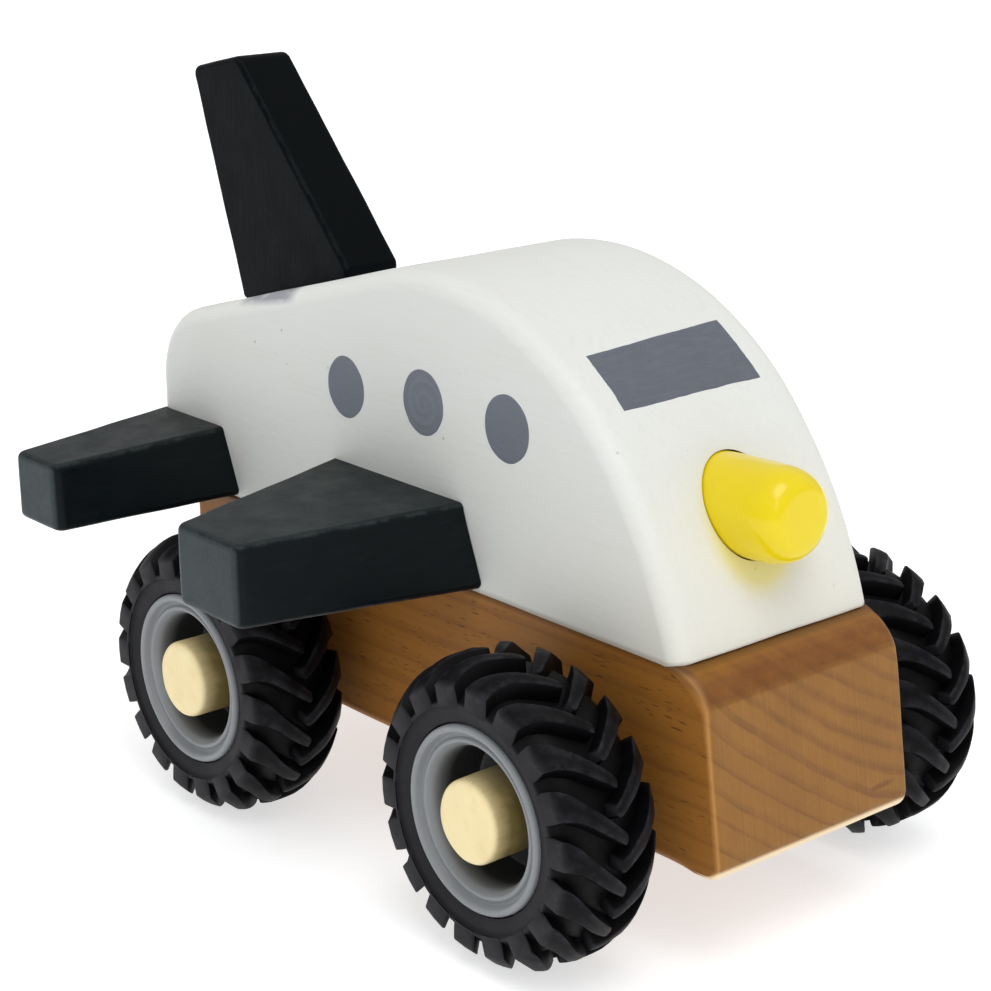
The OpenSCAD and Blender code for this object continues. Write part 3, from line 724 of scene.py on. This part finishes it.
def chassis():
    x0, x1, z0, z1 = CH_LO.x, CH_HI.x, CH_LO.z, CH_HI.z
    lean = math.tan(math.radians(FRONT_LEAN))
    # the brow ends in a faint crease on the raked front
    low = math.radians(BROW_END)
    crease_z = z1 - BROW_R * (1 - math.sin(low))
    crease_x = x1 - (crease_z - z0) * lean
    brow_c = (crease_x - BROW_R * math.cos(low), z1 - BROW_R)
    # steps under 4 degrees, so that the softened rim's rings don't cross
    brow = arc(brow_c[0], brow_c[1], BROW_R, BROW_END, 90.0, 20)
    corners = [(x0, z0), (x1, z0)] + brow + [(x0, z1)]
    pts, nrm = outline(corners, [FOOT_R, 2.85, 2.6] + [0.5] * (len(brow) - 1) + [FOOT_R], seg=2.5, step=9)
    nose = FU_HI.x
    r = []
    for (x, z), o in zip(pts, nrm):
        covered = clamp((nose + 1.0 - x) / 4.0) * clamp(o[1] * 1.6 - 0.5)
        front = clamp((x - x1 + 9.0) / 3.0) * (1.0 - clamp((z - crease_z + 3.0) / 6.0))
        r.append((1.9 - 0.85 * front) * (1 - covered) + 0.55 * covered)
    v, f, e = slab((pts, nrm), (pts, nrm), CH_LO.y, CH_HI.y, np.array(r), upright, rings=6, mid=10)
    o = new_object("chassis_block", v, f, "airframe", None, {"edge": e})
    wobble(o, 0.08, 9.0, 1)
    weighted(o)
    put(o, M_BEECH)
    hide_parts("chassis")


chassis()

# ---------------------------------------------------------------- fuselage block
def fuselage():
    nose = [radial(NOSE_C, NOSE_R, NOSE_LEAN + NOSE_TURN * i / 20) for i in range(20)]
    crown = [radial(CROWN_C, CROWN_R, CROWN_A + (CROWN_END - CROWN_A) * i / 40) for i in range(41)]
    curve = [(x + MID_X, z) for x, z in nose + crown]
    back = FU_LO.x
    corners = curve + [(back, deck_z(back)), (back, TOP_Z)]
    radii = [3.0] * len(curve) + [14.0, 3.0]
    pts, nrm = outline(corners, radii, seg=2.2, step=7, closed=False)
    v, f, e = slab((pts, nrm), (pts, nrm), FU_LO.y, FU_HI.y, 3.0, upright, rings=6, mid=18, closed=False)
    o = new_object("fuselage_block", v, f, "airframe", None, {"edge": e})
    soften(o, lambda c: c.z < TOP_Z + 0.01, 0.5)
    wobble(o, 0.09, 11.0, 2)
    put(o, M_WHITE)
    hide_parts("fuselage")
    return o


FUSELAGE = fuselage()

# ---------------------------------------------------------------- wings, tailplanes, fin
def plank(name, node, root, tip, z0, z1, lead_top, lead_foot, trail, tip_lead, tip_trail, r, mat, side):
    def flat(x, y, z):
        return (x, side * y, z)

    tip -= 0.08
    corners = [(lead_top, root), (tip_lead, tip), (tip_trail, tip), (trail, root)]
    pts, nrm = outline(corners, [r, r + 0.5, r + 0.7, r], seg=3.0, step=9, closed=False)
    foot = pts.copy()
    for p in foot:
        out = (p[1] - root) / (tip - root)
        back, front = trail + (tip_trail - trail) * out, lead_top + (tip_lead - lead_top) * out
        p[0] += (lead_foot - lead_top) * (1 - out) * (p[0] - back) / (front - back)
    shapes = [(foot, nrm), (pts, nrm)]
    v, f, e = slab(shapes[0], shapes[1], z0, z1, r, flat, rings=6, mid=4, closed=False)
    o = new_object(name, v, f, "airframe", None, {"edge": e})
    soften(o, lambda c: abs(c.y) < root + 0.01, 0.35)
    wobble(o, 0.1, 7.0, side * 3 + len(name))
    weighted(o)
    put(o, mat)
    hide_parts(node)


for side, word in ((-1, "right"), (1, "left")):
    lo, hi = box("wing_" + word)
    plank("wing_" + word + "_plank", "wing_" + word, HALF_W, max(abs(lo.y), abs(hi.y)), lo.z, hi.z,
          MID_X + 8.2, MID_X + 12.0, MID_X - 25.2, MID_X + 2.7, MID_X - 13.0, 1.2,
          charcoal_paint("charcoal_wing_" + word, 1.3, 0.12, 1.3, side + 2), side)
    lo, hi = box("tailplane_" + word)
    plank("tailplane_" + word + "_plank", "tailplane_" + word, HALF_W, max(abs(lo.y), abs(hi.y)), lo.z, hi.z,
          MID_X - 56.0, MID_X - 52.3, lo.x, MID_X - 54.6, MID_X - 67.2, 1.2,
          charcoal_paint("charcoal_tail_" + word, 1.3, 0.12, 1.3, side + 5), side)


def fin():
    lo, hi = box("tail_fin")
    foot, heel = MID_X - 38.3, MID_X - 70.2
    corners = [
        (foot, deck_z(foot)),
        (foot - 33.8 * math.tan(math.radians(42.5)), deck_z(foot) + 33.8),
        (heel - 39.5 * math.tan(math.radians(18.5)), deck_z(heel) + 39.5),
        (heel, deck_z(heel)),
    ]
    pts, nrm = outline(corners, [1.45, 2.2, 1.45, 1.45], seg=3.0, step=9)
    r = []
    for p, o in zip(pts, nrm):
        base = clamp(-o[1] * 1.4 - 0.2)
        r.append(1.05 * (1 - base) + 0.6 * base)
    v, f, e = slab((pts, nrm), (pts, nrm), lo.y, hi.y, np.array(r), upright, rings=6, mid=4)
    o = new_object("fin_plank", v, f, "airframe", None, {"edge": e})
    wobble(o, 0.1, 7.0, 9)
    weighted(o)
    # the fin takes the full painted shade of charcoal_paint
    put(o, charcoal_paint("charcoal_fin", 1.3, 1.3, 0.12, 9, 1.0))
    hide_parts("tail_fin")


fin()

# ---------------------------------------------------------------- nose peg
def along_peg(x, y, z):
    c, s = math.cos(math.radians(PEG_TILT)), math.sin(math.radians(PEG_TILT))
    return (PEG_X + z * c - y * s, x, PEG_Z + z * s + y * c)


def nose_peg():
    deep = -12.0
    section = [(0.0, deep), (PEG_R * 0.5, deep), (PEG_R - 0.4, deep), (PEG_R, deep + 0.4)]
    section += [(PEG_R, deep + 12 * i / 6) for i in range(1, 7)]
    # the end is worn to a deep, soft round with a small flat
    deep_round, wide_round = 5.2, 3.2
    section += [(PEG_R * (1 - 0.01 * i / 6), (PEG_OUT - deep_round) * i / 6) for i in range(1, 7)]
    top = PEG_R * 0.99
    for i in range(1, 13):
        a = math.pi / 2 * i / 12
        height = PEG_OUT - deep_round * (1 - math.sin(a) ** 0.92)
        section.append((top - wide_round * (1 - math.cos(a)), height))
    section += [(2.6, PEG_OUT + 0.03), (1.3, PEG_OUT + 0.05), (0.0, PEG_OUT + 0.06)]
    v, f = lathe(section, 72, along_peg)
    o = new_object("nose_peg_turned", v, f, "airframe", None)
    wobble(o, 0.1, 6.0, 4)
    put(o, M_YELLOW)
    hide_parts("nose_peg")


def drill_nose():
    """Cuts the peg's hole in the fuselage block, so that a dark line shows round the peg."""
    v, f = lathe([(0, -14.0), (PEG_R + 0.22, -14.0), (PEG_R + 0.22, 30.0), (0, 30.0)], 72, along_peg)
    mesh = bpy.data.meshes.new("drill")
    mesh.from_pydata([tuple(c * MM for c in p) for p in v], [], f)
    drill = bpy.data.objects.new("drill", mesh)
    bpy.context.scene.collection.objects.link(drill)
    clean(drill)
    m = FUSELAGE.modifiers.new("hole", "BOOLEAN")
    m.operation = "DIFFERENCE"
    m.solver = "EXACT"
    m.object = drill
    bpy.context.view_layer.update()
    cut = bpy.data.meshes.new_from_object(FUSELAGE.evaluated_get(bpy.context.evaluated_depsgraph_get()))
    FUSELAGE.modifiers.clear()
    FUSELAGE.data = cut
    bpy.data.objects.remove(drill)
    shade(FUSELAGE, 40)
    weighted(FUSELAGE)


nose_peg()
drill_nose()

# ---------------------------------------------------------------- painted marks
def skin_finder():
    bm = bmesh.new()
    bm.from_mesh(FUSELAGE.data)
    tree = BVHTree.FromBMesh(bm)
    bm.free()
    return tree


SKIN = skin_finder()


def on_skin(point, lift):
    """The nearest place on the fuselage block, lifted along its normal; all in millimetres."""
    co, normal, _, _ = SKIN.find_nearest(Vector(point) * MM)
    return co / MM + normal * lift


def grid_patch(name, node, point_at, nu, nv, mat):
    """A thin skin of paint: point_at(u, v) gives a rough place, the fuselage gives the rest."""
    top, low = [], []
    for i in range(nv + 1):
        for k in range(nu + 1):
            p = point_at(k / nu, i / nv)
            rim = i in (0, nv) or k in (0, nu)
            top.append(on_skin(p, 0.015 if rim else 0.075))
            low.append(on_skin(p, -0.25))
    n = len(top)
    w = nu + 1
    faces = []
    for i in range(nv):
        for k in range(nu):
            q = (i * w + k, i * w + k + 1, (i + 1) * w + k + 1, (i + 1) * w + k)
            faces.append(q)
            faces.append(tuple(n + j for j in reversed(q)))
    rim = [k for k in range(nu)] + [i * w + nu for i in range(nv)]
    rim += [nv * w + k for k in range(nu, 0, -1)] + [i * w for i in range(nv, 0, -1)]
    for a, b in zip(rim, rim[1:] + rim[:1]):
        faces.append((a, b, n + b, n + a))
    o = new_object(name, top + low, faces, "airframe", 60)
    put(o, mat)
    if node:
        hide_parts(node)
    return o


def ragged(t, seed, size):
    return size * noise.noise(Vector((t * 3.0 + seed, seed * 1.7, 0.5))) + 0.4 * size * noise.noise(
        Vector((t * 11.0 + seed, seed * 2.3, 4.5)))


def round_patch(u, v, radius, seed):
    """Maps a square onto a disc with a slightly ragged rim."""
    a, b = 2 * u - 1, 2 * v - 1
    x, y = a * math.sqrt(1 - b * b / 2), b * math.sqrt(1 - a * a / 2)
    t = math.atan2(y, x) / math.pi
    along, across = math.cos(math.pi * t) * 0.6, math.sin(math.pi * t) * 0.6
    grow = 1 + (ragged(along, seed, 0.018) + ragged(across, seed + 5, 0.018))
    return x * radius * grow, y * radius * grow


def windows(side, word):
    lo, hi = box("window_marks_" + word)
    r = (hi.z - lo.z) / 2 - 0.6
    for i, spot in enumerate(("rear", "middle", "front")):
        f = i / 2
        cx = (lo.x + r) * (1 - f) + (hi.x - r) * f
        cz = (lo.z + r) * (1 - f) + (hi.z - r) * f
        cz += 0.7 * (1 if i == 1 else 0)

        def place(u, v):
            x, z = round_patch(u, v, r * (0.97, 1.0, 1.02)[i], i * 3.1 + side)
            return (cx + x * 0.97, side * HALF_W, cz + z * 1.02)

        swirl = (cx + 0.2, side * HALF_W, cz - 0.4) if i == 1 else None
        mat = window_paint("window_paint_" + spot + "_" + word, swirl)
        grid_patch("window_" + spot + "_" + word, "window_marks_" + word, place, 28, 28, mat)


windows(-1, "right")
windows(1, "left")


def windshield():
    lo, hi = box("windshield_mark")
    turn = [math.acos((x - MID_X - CROWN_C[0]) / CROWN_R) for x in (hi.x - 0.1, lo.x)]

    def place(u, v):
        y = lo.y + (hi.y - lo.y) * u + ragged(v * 1.3, 3.1 if u < 0.5 else 9.7, 0.14) * abs(2 * u - 1)
        skew = (0.017 - 0.03 * u) * v - 0.006 * u * (1 - v)
        rag = ragged(u * 2.2, 5.3 if v < 0.5 else 1.9, 0.0025)
        a = turn[0] + (turn[1] - turn[0]) * v - skew + rag * abs(2 * v - 1)
        return (MID_X + CROWN_C[0] + CROWN_R * math.cos(a), y, CROWN_C[1] + CROWN_R * math.sin(a))

    grid_patch("windshield", "windshield_mark", place, 56, 22, window_paint("window_paint_front", None, 0.3))


windshield()

# ---------------------------------------------------------------- wheels
TYRE_R, RIM_R, MOUTH_R = 23.26, 14.0, 10.4
CARCASS_R, WALL_R = 20.5, 17.3
LUGS = 18
WEB_OUT, WEB_IN = -1.8, -4.3


def wheel_place(hub, side):
    """Local z points outwards along the axle; local x stays row x, so both sides mirror each other."""

    def put_at(x, y, z):
        return (hub.x + x, hub.y + side * z, hub.z + y)

    return put_at


def crown_profile(v):
    """Outer radius of the lugs at a distance v from the tyre's middle plane."""
    v = abs(v)
    if v < 3.0:
        return TYRE_R - 0.006 * v * v
    return TYRE_R - 0.05 - (v - 3.0) ** 1.75 * 0.165


def carcass_section():
    half = [
        (CARCASS_R, 0.0), (CARCASS_R - 0.05, 1.5), (CARCASS_R - 0.12, 3.0), (CARCASS_R - 0.3, 4.6),
        (CARCASS_R - 0.8, 5.8), (CARCASS_R - 1.5, 6.8), (CARCASS_R - 2.3, 7.6), (WALL_R + 0.35, 8.1),
        (WALL_R + 0.1, 8.4), (WALL_R - 0.12, 8.56), (WALL_R - 0.4, 8.58), (WALL_R - 0.62, 8.46),
        (WALL_R - 0.9, 8.2), (WALL_R - 1.4, 8.0), (WALL_R - 2.2, 7.86), (RIM_R + 0.6, 7.7), (RIM_R + 0.25, 7.6),
        (RIM_R + 0.1, 7.3), (RIM_R + 0.1, 6.75), (12.7, 6.6), (12.7, 4.2), (15.0, 4.8), (16.6, 5.2), (17.6, 4.4),
    ]
    # the run closes through the cavity's crown
    return half + [(r, -v) for r, v in reversed(half) if v > 0]


# distance from the middle plane, leading edge and trailing edge of a lug along the tread
LUG_PLAN = [
    (8.62, -5.75, -11.0), (8.45, -5.7, -10.95), (7.9, -5.65, -10.7), (7.3, -5.5, -10.2), (6.7, -5.3, -9.6),
    (6.1, -4.95, -8.8), (5.3, -4.35, -7.75), (4.5, -3.65, -6.8), (3.6, -2.9, -5.85), (2.6, -2.1, -4.9),
    (1.6, -1.35, -3.95), (0.7, -0.7, -3.05), (0.0, -0.2, -2.4), (-0.35, -0.15, -2.15), (-0.6, -0.45, -1.8),
]


def lug(verts, faces, edge, tip_angle, row):
    """One tread bar, built as slices across the tyre; row is +1 on the outer side and -1 on the inner."""
    start = len(verts)
    ring_n = 12
    for s, (v, right, left) in enumerate(LUG_PLAN):
        top = crown_profile(v) - (0.35 if s == 0 else 0.0)
        if v < 0.4:
            top -= (0.4 - v) * 0.3
        low = CARCASS_R - 1.5 if v < 6.5 else WALL_R - 0.6
        b = 0.30
        draft = 0.55
        inset = 0.3 if s == 0 else 0.0
        left, right = left + inset, right - inset
        loop = [
            (left - draft, low), (left - draft * 0.5, low * 0.5 + top * 0.5), (left, top - b),
            (left + b * 0.3, top - b * 0.3), (left + b, top), (left * 0.5 + right * 0.5, top + 0.03),
            (right - b, top), (right - b * 0.3, top - b * 0.3), (right, top - b),
            (right + draft * 0.5, low * 0.5 + top * 0.5), (right + draft, low), (left * 0.5 + right * 0.5, low),
        ]
        for q, (u, r) in enumerate(loop):
            t = tip_angle + u / TYRE_R
            verts.append((r * math.sin(t), r * math.cos(t), row * v))
            edge.append(1.0 if q in (3, 4, 6, 7) else 0.0)
    for s in range(len(LUG_PLAN) - 1):
        for q in range(ring_n):
            a, b2 = start + s * ring_n + q, start + s * ring_n + (q + 1) % ring_n
            c, d = start + (s + 1) * ring_n + (q + 1) % ring_n, start + (s + 1) * ring_n + q
            faces.append((a, b2, c, d) if row > 0 else (a, d, c, b2))
    first = tuple(start + q for q in range(ring_n))
    last = tuple(start + (len(LUG_PLAN) - 1) * ring_n + q for q in range(ring_n))
    faces.append(tuple(reversed(first)) if row > 0 else first)
    faces.append(last if row > 0 else tuple(reversed(last)))


# how far each tyre has rolled, degrees
ROLLED = {"front_right": 5.5, "rear_right": 9.0, "front_left": 1.0, "rear_left": 14.0}


def tyre(key, side):
    hub = HUBS[key]
    place = wheel_place(hub, side)
    cv, cf = lathe(carcass_section(), 108, lambda x, y, z: (x, y, z), closed=True)
    verts, faces = list(cv), list(cf)
    edge = [0.0] * len(verts)
    for k in range(LUGS):
        t = 2 * math.pi * k / LUGS + math.radians(ROLLED[key])
        lug(verts, faces, edge, t, 1)
        lug(verts, faces, edge, t + math.pi / LUGS, -1)
    out = [place(x, y, z) for x, y, z in verts]
    o = new_object("tyre_" + key + "_rubber", out, faces, "wheel_" + key, 38, {"edge": edge})
    put(o, M_RUBBER)
    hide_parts("tyre_" + key)


def rim(key, side):
    hub = HUBS[key]
    place = wheel_place(hub, side)
    lo, hi = box("rim_" + key)
    hub_end = min(abs(lo.y), abs(hi.y)) - abs(hub.y)
    bore = 3.06
    # the hub and the inner dish, then the bead seat under the tyre
    s = [(bore, WEB_OUT - 0.1), (bore, hub_end + 0.2), (bore + 0.2, hub_end), (5.2, hub_end),
         (5.6, hub_end + 0.4), (5.6, WEB_IN - 0.5), (6.1, WEB_IN), (MOUTH_R - 0.5, WEB_IN),
         (MOUTH_R, WEB_IN - 0.5), (MOUTH_R + 0.3, -7.8), (MOUTH_R + 0.7, -8.2), (13.7, -8.2),
         (RIM_R, -7.9), (RIM_R, -6.9), (12.6, -6.7), (12.6, 6.7), (RIM_R, 6.9)]
    # the outer lip with its groove and bead
    s += [(RIM_R, 7.5)] + arc(RIM_R - 0.62, 7.58, 0.62, 0, 165, 9)[1:]
    s += [(RIM_R - 1.32, 7.4), (RIM_R - 1.5, 7.02), (RIM_R - 1.7, 6.92), (RIM_R - 1.95, 6.98)]
    s += arc(RIM_R - 2.45, 6.86, 0.5, 60, 130, 4)
    # the mouth, down to the web
    s += [(MOUTH_R + 0.62, 6.86), (MOUTH_R + 0.3, 6.45), (MOUTH_R + 0.1, 5.9), (MOUTH_R, 5.2),
          (MOUTH_R - 0.1, 4.0), (MOUTH_R - 0.2, 2.0), (MOUTH_R - 0.35, -0.6), (MOUTH_R - 0.7, -1.4),
          (MOUTH_R - 1.4, WEB_OUT), (7.0, WEB_OUT), (bore + 0.1, WEB_OUT)]
    v, f = lathe(s, 128, place, closed=True)
    o = new_object("rim_" + key + "_moulded", v, f, "wheel_" + key, 32)
    put(o, M_GREY)
    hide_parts("rim_" + key)


def axle_peg(key, side):
    hub = HUBS[key]
    place = wheel_place(hub, side)
    lo, hi = box("axle_peg_" + key)
    end = max(abs(lo.y), abs(hi.y)) - abs(hub.y)
    inner = min(abs(lo.y), abs(hi.y)) - abs(hub.y)
    foot = WEB_OUT + 0.2
    head, shank = 6.25, 3.0
    s = [(0.0, inner), (shank - 0.4, inner), (shank, inner + 0.4), (shank, foot - 6.0), (shank, foot),
         (head - 0.2, foot), (head, foot + 0.2), (head, foot + 3), (head, foot + 6), (head, foot + 9)]
    s += arc(head - 1.3, end - 1.3, 1.3, 0, 90, 7)
    s += [(3.2, end), (1.5, end), (0.0, end)]
    v, f = lathe(s, 72, place)
    o = new_object("axle_peg_" + key + "_turned", v, f, "airframe", 50)
    wobble(o, 0.12, 4.0, len(key) + side)
    put(o, M_PALE)
    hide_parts("axle_peg_" + key)


for key in HUBS:
    side = -1 if key.endswith("right") else 1
    tyre(key, side)
    rim(key, side)
    axle_peg(key, side)

# hidden joinery keeps its CAD shape
M_DOWEL = pale_wood("dowel_wood")
for node, obj in frame["nodes"].items():
    if "dowels" in node:
        put(obj, M_DOWEL)

# ---------------------------------------------------------------- stage
def stage_things():
    mesh = bpy.data.meshes.new("floor")
    s = 4.0
    mesh.from_pydata([(-s, -s, 0), (s, -s, 0), (s, s, 0), (-s, s, 0)], [], [(0, 1, 2, 3)])
    floor = bpy.data.objects.new("floor", mesh)
    bpy.context.scene.collection.objects.link(floor)
    put(floor, floor_material())
    floor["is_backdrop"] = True
    world = bpy.data.worlds.new("studio")
    bpy.context.scene.world = world
    world.use_nodes = True
    nt = world.node_tree
    back = nt.nodes["Background"]
    tc = nt.nodes.new("ShaderNodeTexCoord")
    sep = nt.nodes.new("ShaderNodeSeparateXYZ")
    ramp = nt.nodes.new("ShaderNodeValToRGB")
    nt.links.new(tc.outputs["Generated"], sep.inputs[0])
    nt.links.new(sep.outputs["Z"], ramp.inputs["Fac"])
    nt.links.new(ramp.outputs["Color"], back.inputs["Color"])
    ramp.color_ramp.elements[0].position = 0.05
    ramp.color_ramp.elements[0].color = (SKY_LOW, SKY_LOW, SKY_LOW, 1)
    ramp.color_ramp.elements[1].position = 0.75
    ramp.color_ramp.elements[1].color = (SKY_HIGH, SKY_HIGH, SKY_HIGH, 1)
    back.inputs["Strength"].default_value = 1.0

    def lamp(name, kind, at, aim, power, **more):
        light = bpy.data.lights.new(name, kind)
        light.energy = power
        for k, v in more.items():
            setattr(light, k, v)
        o = bpy.data.objects.new(name, light)
        o.location = at
        o.rotation_euler = (Vector(aim) - Vector(at)).to_track_quat("-Z", "Y").to_euler()
        bpy.context.scene.collection.objects.link(o)
        o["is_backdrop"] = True

    lamp("softbox", "SUN", (0.34, -0.20, 0.93), (0, 0, 0), SUN, angle=math.radians(35))
    lamp("strip", "AREA", (0.55, -0.35, 0.45), (0, 0, 0.05), STRIP, shape="RECTANGLE", size=0.12, size_y=0.35)


SKY_LOW, SKY_HIGH, SUN, STRIP = 0.46, 0.74, 0.95, 0.25
stage_things()


def camera():
    az, el, roll = math.radians(49.94), math.radians(17.18), math.radians(-0.56)
    back = Vector((math.sin(az) * math.cos(el), -math.cos(az) * math.cos(el), math.sin(el)))
    fwd = -back
    r = fwd.cross(Vector((0, 0, 1))).normalized()
    u = r.cross(fwd)
    r2 = r * math.cos(roll) + u * math.sin(roll)
    u2 = -r * math.sin(roll) + u * math.cos(roll)
    cam = bpy.data.cameras.new("camera")
    cam.sensor_width = 36.0
    cam.lens = 86.57
    o = bpy.data.objects.new("camera", cam)
    rot = Matrix((r2, u2, -fwd)).transposed().to_4x4()
    o.matrix_world = Matrix.Translation(Vector((0.27246 + MID_X * MM, -0.23614, 0.16551))) @ rot
    bpy.context.scene.collection.objects.link(o)
    bpy.context.scene.camera = o


camera()
bpy.context.scene.view_settings.view_transform = "Standard"
bpy.context.scene.view_settings.look = "None"

END_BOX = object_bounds()
before, after = ([list(corner) for corner in bounds] for bounds in (START_BOX, END_BOX))
